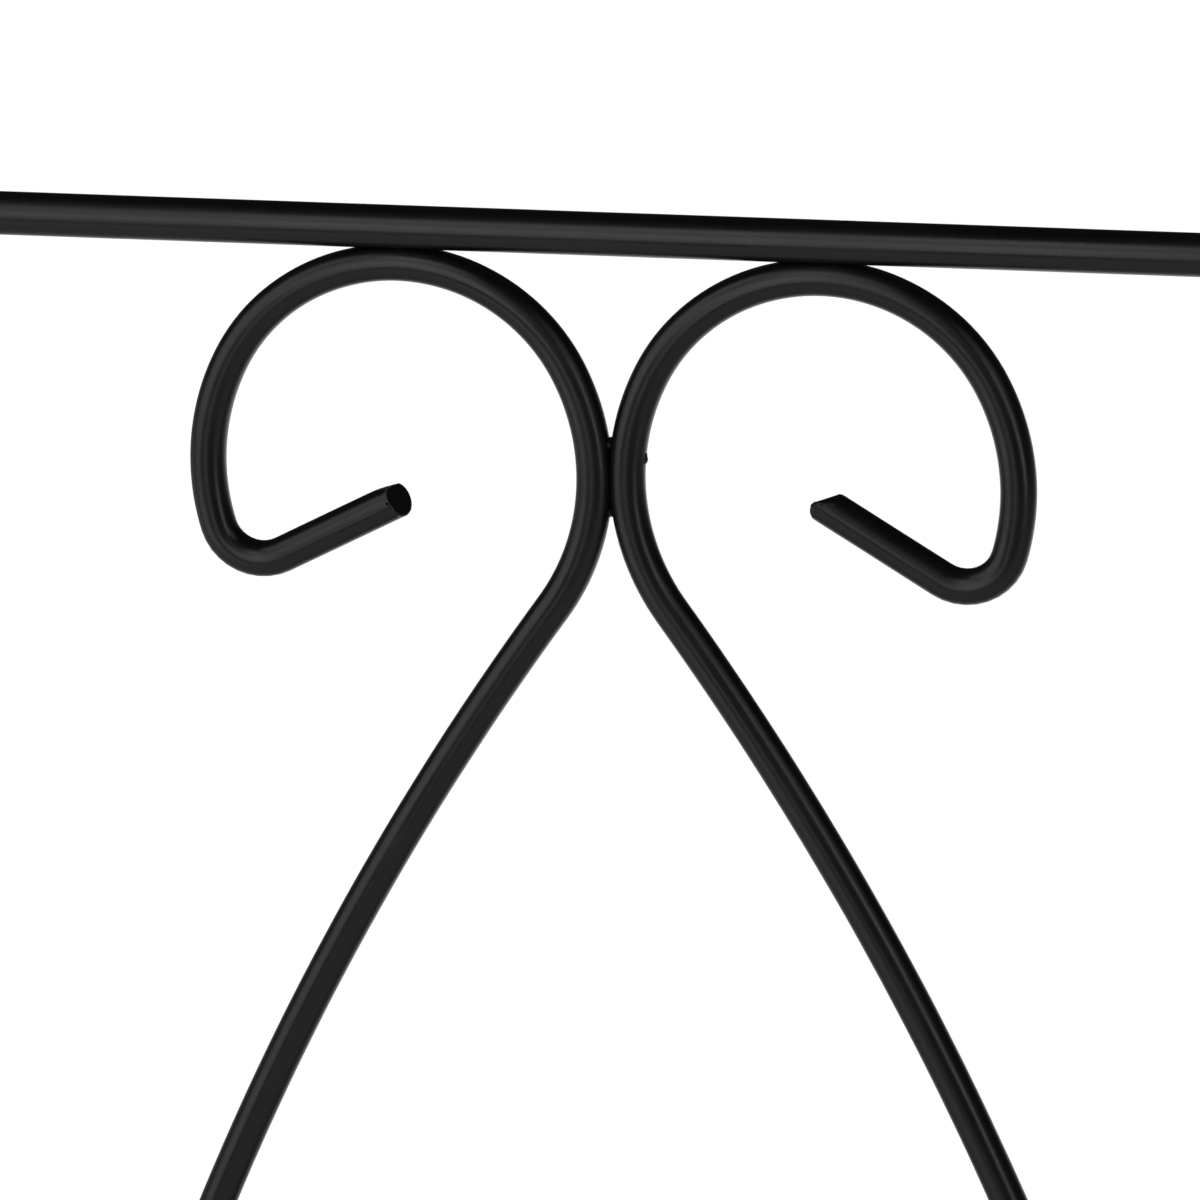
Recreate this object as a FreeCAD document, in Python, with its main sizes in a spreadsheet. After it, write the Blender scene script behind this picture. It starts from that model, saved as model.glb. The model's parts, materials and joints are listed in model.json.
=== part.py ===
"""Tabletop display easel of welded, powder-coated steel rod.

One hooped rod makes the front frame: two legs and the top bar.  A mirrored pair of
scroll wires hangs from the top bar, touches at the middle and lands on the ledge bar.
Two J-shaped arms and a rail hold the picture, and a rear strut turns on a crossbar.

Axes: X along the top bar, the front faces -Y, Z up.  The origin lies on the ground in
the middle of the footprint.  All sizes are millimetres and degrees, coating included.
"""
import FreeCAD, Part
import math
import os
import Sketcher

Vector = FreeCAD.Vector
Placement = FreeCAD.Placement
Rotation = FreeCAD.Rotation
X_AXIS, Y_AXIS, Z_AXIS = Vector(1, 0, 0), Vector(0, 1, 0), Vector(0, 0, 1)

doc = FreeCAD.newDocument("display_easel")

# ---------------------------------------------------------------- driving sizes
SIZES = {
    "lean_angle": 15.0,         # front frame, back from the vertical
    "opening_angle": 38.0,      # between the front frame and the open strut
    "frame_width": 250.0,       # between the centres of the two legs
    "frame_height": 335.0,      # along the legs, ground to the centre of the top bar
    "frame_rod": 6.2,
    "corner_bend": 22.0,        # centreline radius of the hoop's two corners
    "wire": 5.2,                # scrolls, crossbars, arms, rail and strut
    "crown_radius": 27.2,       # scroll loop: top arc, to the wire's centreline
    "crown_turn": 63.0,         # from the top of the loop to the start of either flank
    "flank_radius": 33.8,
    "flank_drop": 16.0,         # turn that the outer flank makes below its widest point
    "curl_radius": 6.5,         # tight bend where the loop turns in
    "left_curl_turn": 101.5,    # bent by hand, so the two curls differ a little
    "right_curl_turn": 105.5,
    "tail_length": 20.7,        # straight end of the scroll, inside the loop
    "stem_splay": 35.3,         # steepest angle of the stem from the middle line
    "stem_radius": 468.0,
    "ledge_height": 45.0,       # ledge bar above the ground, along the legs
    "ledge_reach": 30.0,        # legs' plane out to the centre of the lip rail
    "lip_rise": 17.0,           # underside arms up to the centre of the lip rail
    "arm_bend": 7.0,
    "arm_spacing": 140.0,
    "lip_overhang": 12.0,
    "hinge_drop": 177.0,        # centre of the top bar down to the hinge bar, along the legs
    "bar_overhang": 3.0,        # hinge bar past the outside of each leg
    "strut_spacing": 90.0,
    "stop_overrun": 5.0,        # strut leg above its contact with the stop bar
    "stop_gap": 0.3,
    "brace_height": 55.0,       # strut brace above the ground, along the strut
    "sleeve_wall": 1.6,
    "sleeve_length": 14.0,
    "running_clearance": 0.08,  # radial, sleeve on hinge bar
    "side_play": 0.4,           # sleeve to collar
    "collar_wall": 1.6,
    "collar_length": 5.0,
    "cap_wall": 1.4,
    "cap_floor": 2.5,
    "cap_depth": 14.0,
    "set_down": 0.5,            # depth that two rods sink into each other when welded
    "edge_break": 0.5,          # chamfer round the cut ends of straight rods
    "bead_radius": 1.1,         # bead round the end of a rod
    "drop_length": 5.2,         # bead in the notch beside two touching rods
    "drop_height": 3.08,
    "drop_width": 1.98,
}

sheet = doc.addObject("Spreadsheet::Sheet", "Sizes")
for row, (word, value) in enumerate(SIZES.items(), start=1):
    sheet.set(f"A{row}", word)
    sheet.set(f"B{row}", str(value))
    sheet.setAlias(f"B{row}", word)
doc.recompute()


def size(word):
    """A driving size, as the sheet holds it."""
    return float(sheet.get(word))


def sine(degrees):
    return math.sin(math.radians(degrees))


def cosine(degrees):
    return math.cos(math.radians(degrees))


# ---------------------------------------------------------------- derived places
ROD_R = size("frame_rod") / 2
WIRE_R = size("wire") / 2
SINK = size("set_down")
LEG_X = size("frame_width") / 2
STRUT_X = size("strut_spacing") / 2
ARM_X = size("arm_spacing") / 2
LEAN = size("lean_angle")
STRUT_LEAN = size("opening_angle") - LEAN
SLEEVE_BORE_R = WIRE_R + size("running_clearance")
SLEEVE_R = SLEEVE_BORE_R + size("sleeve_wall")

# In the leaning frame: x across, y up along the legs from the ground, z out of the front.
FRAME = Placement(Vector(), Rotation(X_AXIS, 90 - LEAN))

# The hinge bar lies against the back of the legs, sunk in by the weld.
HINGE_Y = size("frame_height") - size("hinge_drop")
HINGE_Z = -(ROD_R + WIRE_R - SINK)
HINGE = FRAME.multVec(Vector(0, HINGE_Y, HINGE_Z))

# The scrolls' stems pass in front of the hinge bar and touch it.
SCROLL_Z = HINGE_Z + 2 * WIRE_R

# In the strut: x across, y up along its legs, z towards the front, hinge axis at zero.
STRUT = Placement(HINGE, Rotation(X_AXIS, 90 + STRUT_LEAN))
STRUT_LEG_Z = -(SLEEVE_R + WIRE_R - SINK)
STRUT_DROP = (HINGE.z - STRUT_LEG_Z * sine(STRUT_LEAN)) / cosine(STRUT_LEAN)
BRACE_Y = size("brace_height") - STRUT_DROP

# The stop bar lies in the plane of the legs, a stop_gap ahead of the strut's upper ends.
STOP_AHEAD = STRUT_LEG_Z + 2 * WIRE_R + size("stop_gap")
STOP_ALONG = ((-HINGE_Z - STOP_AHEAD * cosine(size("opening_angle")))
              / sine(size("opening_angle")))
STOP_HEIGHT = (HINGE_Y + STOP_ALONG * cosine(size("opening_angle"))
               - STOP_AHEAD * sine(size("opening_angle")))


def at(frame, x, y, z, turn=None):
    """A placement inside a leaning frame, with a turn of its own where one is given."""
    return frame.multiply(Placement(Vector(x, y, z), turn or Rotation()))


ACROSS = Rotation(Y_AXIS, 90)      # a rod grown along z comes to lie along x
FORWARD = Rotation(Y_AXIS, -90)    # a path drawn in x and y comes to lie in z and y
UPWARD = Rotation(X_AXIS, -90)     # a shape grown along z comes to stand along y


# ---------------------------------------------------------------- rod bending
def bend_rod(start, heading, moves):
    """Corner points of a bent rod, as (start, middle, end) for each stretch.

    A move is ("run", length) or ("bend", radius, turn), where a positive turn is to
    the left.  A run has no middle point.
    """
    stretches = []
    point = start
    for move in moves:
        along = Vector(cosine(heading), sine(heading), 0)
        if move[0] == "run":
            end = point + along * move[1]
            stretches.append((point, None, end))
        else:
            radius, turn = move[1], move[2]
            side = math.copysign(1, turn)
            to_centre = Vector(-along.y, along.x, 0) * (side * radius)
            centre = point + to_centre
            middle = centre + Rotation(Z_AXIS, turn / 2).multVec(-to_centre)
            end = centre + Rotation(Z_AXIS, turn).multVec(-to_centre)
            stretches.append((point, middle, end))
            heading += turn
        point = end
    return stretches


def reversed_path(stretches):
    return [(end, middle, start) for start, middle, end in reversed(stretches)]


def mirrored_path(stretches):
    def flip(point):
        return Vector(-point.x, point.y, 0) if point else None
    return [tuple(flip(point) for point in stretch) for stretch in stretches]


# ---------------------------------------------------------------- building blocks
def origin_plane(body, role):
    return next(item for item in body.Origin.OriginFeatures if item.Role == role)


def new_body(label):
    body = doc.addObject("PartDesign::Body", label)
    body.Label = label
    return body


def new_sketch(body, name, role):
    sketch = body.newObject("Sketcher::SketchObject", name)
    sketch.AttachmentSupport = [(origin_plane(body, role), "")]
    sketch.MapMode = "FlatFace"
    return sketch


def add_circle(sketch, expression, radius):
    """A circle about the sketch's origin, its radius bound to the sheet."""
    index = sketch.addGeometry(Part.Circle(Vector(), Z_AXIS, radius))
    sketch.addConstraint(Sketcher.Constraint("Coincident", index, 3, -1, 1))
    held = sketch.addConstraint(Sketcher.Constraint("Radius", index, radius))
    sketch.setExpression(f"Constraints[{held}]", expression)


def pad(body, sketch, length):
    feature = body.newObject("PartDesign::Pad", "Pad")
    feature.Profile = sketch
    feature.setExpression("Length", length)
    sketch.Visibility = False
    return feature


def break_edges(body, base):
    """A small chamfer round both ends of a straight rod."""
    doc.recompute()
    rims = [f"Edge{number}" for number, edge in enumerate(base.Shape.Edges, start=1)
            if edge.isClosed() and isinstance(edge.Curve, Part.Circle)]
    chamfer = body.newObject("PartDesign::Chamfer", "Chamfer")
    chamfer.Base = (base, rims)
    chamfer.setExpression("Size", "Sizes.edge_break")
    return chamfer


def straight_rod(label, word, length, placement):
    """A rod along its own z from zero, with its cut ends chamfered."""
    body = new_body(label)
    section = new_sketch(body, "Section", "XY_Plane")
    add_circle(section, f"Sizes.{word} / 2", size(word) / 2)
    break_edges(body, pad(body, section, length))
    body.Placement = placement
    return body


def tube(label, bore, wall, length, placement):
    """A short tube along its own z from zero: a sleeve or a collar."""
    body = new_body(label)
    section = new_sketch(body, "Section", "XY_Plane")
    add_circle(section, bore[0], bore[1])
    add_circle(section, f"{bore[0]} + Sizes.{wall}", bore[1] + size(wall))
    pad(body, section, length)
    body.Placement = placement
    return body


def draw_path(body, stretches):
    """The centreline of a bent rod, each stretch joined to the one before."""
    path = new_sketch(body, "Centreline", "XY_Plane")
    for number, (start, middle, end) in enumerate(stretches):
        if middle is None:
            path.addGeometry(Part.LineSegment(start, end))
        else:
            path.addGeometry(Part.Arc(start, middle, end))
        if number:
            joins = [(number - 1, before, number, after) for before in (1, 2) for after in (1, 2)]
            nearest = min(joins, key=lambda join: path.getPoint(*join[:2]).distanceToPoint(
                path.getPoint(*join[2:])))
            path.addConstraint(Sketcher.Constraint("Coincident", *nearest))
    return path


def bent_rod(label, word, stretches, placement):
    """A rod that follows a flat path of runs and bends."""
    body = new_body(label)
    path = draw_path(body, stretches)
    doc.recompute()
    start, middle, end = stretches[0]
    if middle is None:
        along = end - start
    else:
        first = Part.Arc(start, middle, end)
        along = first.tangent(first.parameter(start))[0]
        if along.dot(middle - start) < 0:
            along = -along
    heading = math.degrees(math.atan2(along.y, along.x))
    section = new_sketch(body, "Section", "YZ_Plane")
    section.AttachmentOffset = Placement(Vector(start.y, 0, start.x), Rotation(Y_AXIS, heading))
    add_circle(section, f"Sizes.{word} / 2", size(word) / 2)
    sweep = body.newObject("PartDesign::AdditivePipe", "Rod")
    sweep.Profile = section
    sweep.Spine = (path, [f"Edge{number + 1}" for number in range(len(stretches))])
    section.Visibility = path.Visibility = False
    body.Placement = placement
    return body


def foot_cap(label, rod_word, rod_radius, tilt, placement):
    """A vinyl cap: a blind cup along its own z, with a sole cut level with the ground.

    The ground passes through the cap's own origin and is turned about x by the tilt.
    """
    body = new_body(label)
    outer = rod_radius + size("cap_wall")
    floor, rim = size("cap_floor"), size("cap_floor") + size("cap_depth")
    below = -(outer * math.tan(math.radians(abs(tilt))) + size("cap_wall"))
    profile = new_sketch(body, "Half section", "XZ_Plane")
    corners = [Vector(0, below, 0), Vector(outer, below, 0), Vector(outer, rim, 0),
               Vector(rod_radius, rim, 0), Vector(rod_radius, floor, 0), Vector(0, floor, 0)]
    last = len(corners) - 1
    for number, corner in enumerate(corners):
        profile.addGeometry(Part.LineSegment(corner, corners[(number + 1) % len(corners)]))
    for number in range(len(corners)):
        following = (number + 1) % len(corners)
        profile.addConstraint(Sketcher.Constraint("Coincident", number, 2, following, 1))
    for edge in (0, 2, 4):
        profile.addConstraint(Sketcher.Constraint("Horizontal", edge))
    for edge in (1, 3, last):
        profile.addConstraint(Sketcher.Constraint("Vertical", edge))
    profile.addConstraint(Sketcher.Constraint("PointOnObject", 0, 1, -2))
    distances = [("DistanceX", 3, 1, rod_radius, f"Sizes.{rod_word} / 2"),
                 ("DistanceX", 1, 1, outer, f"Sizes.{rod_word} / 2 + Sizes.cap_wall"),
                 ("DistanceY", 2, 1, rim, "Sizes.cap_floor + Sizes.cap_depth"),
                 ("DistanceY", 4, 1, floor, "Sizes.cap_floor")]
    for kind, edge, end, value, expression in distances:
        held = profile.addConstraint(Sketcher.Constraint(kind, -1, 1, edge, end, value))
        profile.setExpression(f"Constraints[{held}]", expression)
    profile.addConstraint(Sketcher.Constraint("DistanceY", 0, 1, -1, 1, -below))
    cup = body.newObject("PartDesign::Revolution", "Cup")
    cup.Profile = profile
    cup.ReferenceAxis = (profile, ["V_Axis"])
    cup.Angle = 360
    level = new_sketch(body, "Ground", "XY_Plane")
    level.AttachmentOffset = Placement(Vector(), Rotation(X_AXIS, tilt))
    level.addGeometry(Part.Circle(Vector(), Z_AXIS, 3 * outer))
    doc.recompute()
    uncut = cup.Shape.Volume
    sole = body.newObject("PartDesign::Pocket", "Sole")
    sole.Profile = level
    sole.Length = 4 * outer
    doc.recompute()
    if not 0.5 * uncut < sole.Shape.Volume < uncut:
        raise RuntimeError(f"{label}: the sole was not cut")
    rims = [f"Edge{number}" for number, edge in enumerate(sole.Shape.Edges, start=1)
            if edge.isClosed() and edge.BoundBox.ZMax < floor and edge.BoundBox.XLength > 1.9 * outer]
    chamfer = body.newObject("PartDesign::Chamfer", "Chamfer")
    chamfer.Base = (sole, rims)
    chamfer.Size = size("cap_wall") / 3
    profile.Visibility = level.Visibility = False
    body.Placement = placement
    return body


def group(label, beads):
    """Weld beads of one kind, as separate solids in one node."""
    compound = doc.addObject("Part::Compound", label)
    compound.Label = label
    compound.Links = beads
    return compound


def ring_bead(word, placement):
    """A bead right round the end of a rod that butts on another, in its own x and y.

    Its middle stands a sixth of the bead's radius outside the rod's surface.
    """
    bead = doc.addObject("Part::Torus", "RingBead")
    bead.setExpression("Radius1", f"Sizes.{word} / 2 + Sizes.bead_radius / 6")
    bead.setExpression("Radius2", "Sizes.bead_radius")
    bead.Placement = placement
    return bead


def drop_bead(placement):
    """A bead in the notch beside two touching rods, longest along its own x."""
    bead = doc.addObject("Part::Ellipsoid", "DropBead")
    bead.Angle1, bead.Angle2, bead.Angle3 = -90, 90, 360
    bead.setExpression("Radius1", "Sizes.drop_height / 2")
    bead.setExpression("Radius2", "Sizes.drop_length / 2")
    bead.setExpression("Radius3", "Sizes.drop_width / 2")
    bead.Placement = placement
    return bead


# ---------------------------------------------------------------- front frame
def frame_hoop():
    """One rod from the left foot, up, across the top and down to the right foot."""
    bend = size("corner_bend")
    foot = size("cap_floor")
    rise = size("frame_height") - bend - foot
    moves = [("run", rise), ("bend", bend, -90), ("run", size("frame_width") - 2 * bend),
             ("bend", bend, -90), ("run", rise)]
    return bent_rod("frame_hoop", "frame_rod", bend_rod(Vector(-LEG_X, foot, 0), 90, moves), FRAME)


# A loop's crown arc runs into a flank on either side without a kink, because the two
# arcs' centres lie on one line through the point where they meet.
CROWN_R = size("crown_radius")
FLANK_R = size("flank_radius")
CROWN_TURN = size("crown_turn")
LOOP_HALF_WIDTH = FLANK_R - (FLANK_R - CROWN_R) * sine(CROWN_TURN)
LOOP_RISE = CROWN_R + (FLANK_R - CROWN_R) * cosine(CROWN_TURN)
CROWN_X = LOOP_HALF_WIDTH + WIRE_R - SINK / 2
CROWN_Y = size("frame_height") - ROD_R - WIRE_R + SINK
WIDEST_Y = CROWN_Y - LOOP_RISE
SPLAY = size("stem_splay")
SPLAY_X = WIRE_R - SINK / 2 + FLANK_R * (1 - cosine(SPLAY))
SPLAY_Y = WIDEST_Y - FLANK_R * sine(SPLAY)
STEM_END_Y = size("ledge_height") + 2 * WIRE_R - SINK


def stem_angle(height):
    """Angle of the stem from the middle line at a height below its steepest point."""
    return math.degrees(math.asin(sine(SPLAY) - (SPLAY_Y - height) / size("stem_radius")))


def stem_x(height):
    """Distance of the stem's centreline from the middle line at a height."""
    return SPLAY_X + size("stem_radius") * (cosine(stem_angle(height)) - cosine(SPLAY))


def scroll_path(curl_turn):
    """Right-hand scroll, from its foot on the ledge bar to the tip inside the loop."""
    crown = Vector(CROWN_X, CROWN_Y, 0)
    inward = [("bend", CROWN_R, CROWN_TURN),
              ("bend", FLANK_R, 90 - CROWN_TURN + SPLAY),
              ("bend", size("stem_radius"), stem_angle(STEM_END_Y) - SPLAY)]
    outward = [("bend", CROWN_R, -CROWN_TURN),
               ("bend", FLANK_R, -(90 - CROWN_TURN + size("flank_drop"))),
               ("bend", size("curl_radius"), -curl_turn),
               ("run", size("tail_length"))]
    return reversed_path(bend_rod(crown, 180, inward)) + bend_rod(crown, 0, outward)


def scrolls():
    left, right = scroll_path(size("left_curl_turn")), scroll_path(size("right_curl_turn"))
    plane = at(FRAME, 0, 0, SCROLL_Z)
    return [bent_rod("left_scroll", "wire", mirrored_path(left), plane),
            bent_rod("right_scroll", "wire", right, plane)]


def ledge_bar():
    """Crossbar between the legs that carries the stems and the arms."""
    inside = "Sizes.frame_width - Sizes.frame_rod + 2 * Sizes.set_down"
    half = LEG_X - ROD_R + SINK
    return straight_rod("ledge_bar", "wire", inside,
                        at(FRAME, -half, size("ledge_height") + WIRE_R, 0, ACROSS))


def hinge_bar():
    """Crossbar behind the legs that the strut turns on."""
    length = "Sizes.frame_width + Sizes.frame_rod + 2 * Sizes.bar_overhang"
    half = LEG_X + ROD_R + size("bar_overhang")
    return straight_rod("hinge_bar", "wire", length,
                        at(FRAME, -half, HINGE_Y, HINGE_Z, ACROSS))


def stop_bar():
    """Short crossbar between the stems that the open strut leans against."""
    half = stem_x(STOP_HEIGHT) - WIRE_R + SINK
    bar = straight_rod("stop_bar", "wire", "Sizes.wire", at(FRAME, -half, STOP_HEIGHT, 0, ACROSS))
    set_length(bar, 2 * half)
    return bar


def set_length(body, length):
    """A length that follows from a curve, set on the body's pad."""
    rod = next(item for item in body.Group if item.TypeId == "PartDesign::Pad")
    rod.setExpression("Length", None)
    rod.Length = length


def ledge_arm(side, x):
    """J-shaped arm under the ledge bar, out to the front and up to the lip rail."""
    bend, reach = size("arm_bend"), size("ledge_reach")
    moves = [("run", reach - bend + WIRE_R), ("bend", bend, 90),
             ("run", size("lip_rise") - bend - 2 * WIRE_R + SINK)]
    path = bend_rod(Vector(-WIRE_R, 0, 0), 0, moves)
    height = size("ledge_height") - WIRE_R + SINK
    return bent_rod(f"{side}_ledge_arm", "wire", path, at(FRAME, x, height, 0, FORWARD))


def lip_rail():
    """Front rail on top of the arms that keeps a picture from sliding off."""
    length = "Sizes.arm_spacing + 2 * Sizes.lip_overhang"
    half = ARM_X + size("lip_overhang")
    height = size("ledge_height") - WIRE_R + SINK + size("lip_rise") - WIRE_R
    return straight_rod("lip_rail", "wire", length,
                        at(FRAME, -half, height, size("ledge_reach"), ACROSS))


def hinge_collar(side, inner_x):
    """Collar pressed on the hinge bar, outboard of a sleeve."""
    return tube(f"{side}_hinge_collar", ("Sizes.wire / 2", WIRE_R), "collar_wall",
                "Sizes.collar_length", at(FRAME, inner_x, HINGE_Y, HINGE_Z, ACROSS))


def front_frame():
    past_sleeve = STRUT_X + size("sleeve_length") / 2 + size("side_play")
    pieces = [frame_hoop(), *scrolls(), ledge_bar(), hinge_bar(), stop_bar(), lip_rail()]
    pieces += [hinge_collar("left", -past_sleeve - size("collar_length")),
               hinge_collar("right", past_sleeve)]
    for side, hand in (("left", -1), ("right", 1)):
        pieces.append(ledge_arm(side, hand * ARM_X))
        pieces.append(foot_cap(f"{side}_front_foot", "frame_rod", ROD_R, LEAN,
                               at(FRAME, hand * LEG_X, 0, 0, UPWARD)))
    return pieces


# ---------------------------------------------------------------- rear strut
def strut_leg(side, x):
    """Straight rod from the foot to its upper end, which meets the stop bar."""
    upper = STOP_ALONG + size("stop_overrun")
    lower = STRUT_DROP - size("cap_floor")
    leg = straight_rod(f"{side}_strut_leg", "wire", "Sizes.wire",
                       at(STRUT, x, -lower, STRUT_LEG_Z, UPWARD))
    set_length(leg, upper + lower)
    return leg


def hinge_sleeve(side, x):
    """Tube that turns on the hinge bar, with a strut leg welded to its back."""
    bore = ("Sizes.wire / 2 + Sizes.running_clearance", SLEEVE_BORE_R)
    return tube(f"{side}_hinge_sleeve", bore, "sleeve_wall", "Sizes.sleeve_length",
                at(STRUT, x - size("sleeve_length") / 2, 0, 0, ACROSS))


def strut_brace():
    """Crossbar that ties the two strut legs."""
    half = STRUT_X - WIRE_R + SINK
    return straight_rod("strut_brace", "wire", "Sizes.strut_spacing - Sizes.wire + 2 * Sizes.set_down",
                        at(STRUT, -half, BRACE_Y, STRUT_LEG_Z, ACROSS))


def rear_strut():
    pieces = [strut_brace()]
    for side, hand in (("left", -1), ("right", 1)):
        x = hand * STRUT_X
        pieces.append(strut_leg(side, x))
        pieces.append(hinge_sleeve(side, x))
        pieces.append(foot_cap(f"{side}_rear_foot", "wire", WIRE_R, -STRUT_LEAN,
                               at(STRUT, x, -STRUT_DROP, STRUT_LEG_Z, UPWARD)))
    return pieces


# ---------------------------------------------------------------- welds
def notch_reach(first_radius, second_radius, sink):
    """Half the length over which two rods that cross tangentially are merged."""
    return math.sqrt(sink * 2 * first_radius * second_radius / (first_radius + second_radius))


def scroll_and_crown_welds():
    """Beads in the notches where the scrolls touch each other and the top bar."""
    flank = FLANK_R + WIRE_R
    beside = notch_reach(flank, flank, SINK) + size("bead_radius")
    upright = Rotation(Z_AXIS, 90)
    pair = [drop_bead(at(FRAME, 0, WIDEST_Y + step * beside, SCROLL_Z, upright))
            for step in (-1, 1)]
    crown = CROWN_R + WIRE_R
    reach = math.sqrt(2 * crown * SINK) + size("bead_radius")
    top = CROWN_Y + WIRE_R - SINK / 2
    drops = [drop_bead(at(FRAME, hand * CROWN_X + step * reach, top, SCROLL_Z))
             for hand in (-1, 1) for step in (-1, 1)]
    return [group("scroll_weld", pair), group("crown_welds", drops)]


def frame_welds():
    """Beads round the crossbars, stems, arms and rail of the front frame."""
    ledge_y = size("ledge_height") + WIRE_R
    arm_y = size("ledge_height") - WIRE_R + SINK
    rail_y = arm_y + size("lip_rise") - WIRE_R
    beads = {"ledge_welds": [], "stop_welds": [], "stem_welds": [], "arm_welds": [],
             "lip_welds": [], "hinge_bar_welds": []}
    for hand in (-1, 1):
        beads["ledge_welds"].append(
            ring_bead("wire", at(FRAME, hand * (LEG_X - ROD_R), ledge_y, 0, ACROSS)))
        beads["stop_welds"].append(ring_bead("wire", at(
            FRAME, hand * (stem_x(STOP_HEIGHT) - WIRE_R), STOP_HEIGHT, 0, ACROSS)))
        beads["stem_welds"].append(
            ring_bead("wire", at(FRAME, hand * stem_x(STEM_END_Y), STEM_END_Y + SINK, SCROLL_Z,
                                 UPWARD)))
        beads["arm_welds"] += [
            drop_bead(at(FRAME, hand * ARM_X + step * (WIRE_R - SINK), (ledge_y + arm_y) / 2,
                              0, ACROSS)) for step in (-1, 1)]
        beads["lip_welds"].append(ring_bead("wire", at(
            FRAME, hand * ARM_X, rail_y - WIRE_R, size("ledge_reach"), UPWARD)))
        beads["hinge_bar_welds"] += [
            drop_bead(at(FRAME, hand * LEG_X, HINGE_Y + step * (WIRE_R - SINK),
                              -(ROD_R - SINK / 2))) for step in (-1, 1)]
    return [group(label, members) for label, members in beads.items()]


def strut_welds():
    """Beads between the sleeves, the legs and the brace of the strut."""
    sleeve, brace = [], []
    for hand in (-1, 1):
        sleeve += [drop_bead(at(STRUT, hand * STRUT_X + step * (WIRE_R - SINK), 0,
                                     -(SLEEVE_R + SINK / 3), Rotation(Z_AXIS, 90)))
                   for step in (-1, 1)]
        brace.append(ring_bead("wire", at(STRUT, hand * (STRUT_X - WIRE_R),
                                          BRACE_Y, STRUT_LEG_Z, ACROSS)))
    return [group("sleeve_welds", sleeve), group("brace_welds", brace)]


# ---------------------------------------------------------------- assembly
def check(pieces):
    """Stop if any feature failed or any piece isn't sound closed solids."""
    for item in doc.Objects:
        if "Invalid" in item.State or "Error" in item.State:
            raise RuntimeError(f"{item.Label} failed: {item.State}")
    for piece in pieces:
        shape = piece.Shape
        if shape.isNull() or not shape.isValid() or not shape.Solids:
            raise RuntimeError(f"{piece.Label} is not a sound solid")


def centre_on_footprint(pieces):
    """Move everything along y so that the origin is in the middle of the footprint."""
    boxes = [piece.Shape.optimalBoundingBox(False, False) for piece in pieces]
    middle = (min(box.YMin for box in boxes) + max(box.YMax for box in boxes)) / 2
    for piece in pieces:
        piece.Placement = Placement(Vector(0, -middle, 0), Rotation()).multiply(piece.Placement)
    doc.recompute()
    return middle


def main():
    pieces = front_frame() + rear_strut()
    pieces += scroll_and_crown_welds() + frame_welds() + strut_welds()
    doc.recompute()
    check(pieces)
    moved = centre_on_footprint(pieces)
    check(pieces)
    os.makedirs("parts", exist_ok=True)
    for piece in pieces:
        piece.Shape.exportStep(f"parts/{piece.Label}.step")
    rear = STRUT.multVec(Vector(0, -STRUT_DROP, STRUT_LEG_Z))
    print(f"{len(pieces)} pieces, hinge axis y {HINGE.y - moved:.3f} z {HINGE.z:.3f}, "
          f"front sole y {-moved:.3f} rear sole y {rear.y - moved:.3f}")


main()
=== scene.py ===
# %% [markdown]
# # A display easel of bent and welded rod
# The easel is all one material, black coated steel rod, so its looks come from three
# things: how the rod is bent, how its ends and welds were made, and how the coating
# takes the light.  The CAD model gives every size and place.  This lesson rebuilds each
# rod along its centreline with Geometry Nodes, because a swept rod can carry a measure
# of where each point lies along and around it, which a CAD mesh can't.

# %% Load the frame
import json
import math
import bpy
import bmesh
from mathutils import Matrix, Vector


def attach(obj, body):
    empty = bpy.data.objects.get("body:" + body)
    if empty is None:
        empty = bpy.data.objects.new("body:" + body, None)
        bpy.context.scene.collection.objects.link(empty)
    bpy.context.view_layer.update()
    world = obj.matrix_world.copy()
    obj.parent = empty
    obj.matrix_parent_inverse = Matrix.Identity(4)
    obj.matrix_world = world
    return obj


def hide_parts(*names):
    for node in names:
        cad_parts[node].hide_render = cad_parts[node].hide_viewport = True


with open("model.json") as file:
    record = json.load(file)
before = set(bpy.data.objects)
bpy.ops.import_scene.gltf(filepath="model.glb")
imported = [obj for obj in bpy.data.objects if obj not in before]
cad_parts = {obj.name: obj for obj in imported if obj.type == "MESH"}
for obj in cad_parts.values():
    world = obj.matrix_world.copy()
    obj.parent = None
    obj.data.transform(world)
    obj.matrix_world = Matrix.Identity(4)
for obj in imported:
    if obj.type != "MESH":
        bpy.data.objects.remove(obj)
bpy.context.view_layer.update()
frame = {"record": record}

record = frame["record"]
MM = 0.001

# %% [markdown]
# ## Two leaning frames
# The front of the easel is flat and leans back, and so does its strut the other way.
# Working in each one's own plane keeps the bends simple: x goes across, y up along the
# rods and z out of the front.  One matrix for each plane then stands it up.  The
# origins come from the record: the front feet's soles and the hinge's axis.

# %% The leaning frames
LEAN = 15.0
OPENING = 38.0


def leaning(origin, angle):
    return Matrix.Translation(origin) @ Matrix.Rotation(math.radians(angle), 4, "X")


mounts = {mount["name"]: Vector(mount["pos_m"]) for mount in record["mounts"]}
hinge = Vector(record["behaviour"]["joints"][0]["pos_m"])
FRONT = leaning((0, mounts["right_front_sole"].y, 0), 90 - LEAN)
STRUT = leaning(hinge, 90 + OPENING - LEAN)
print("hinge axis at", [round(value, 4) for value in hinge])

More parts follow.
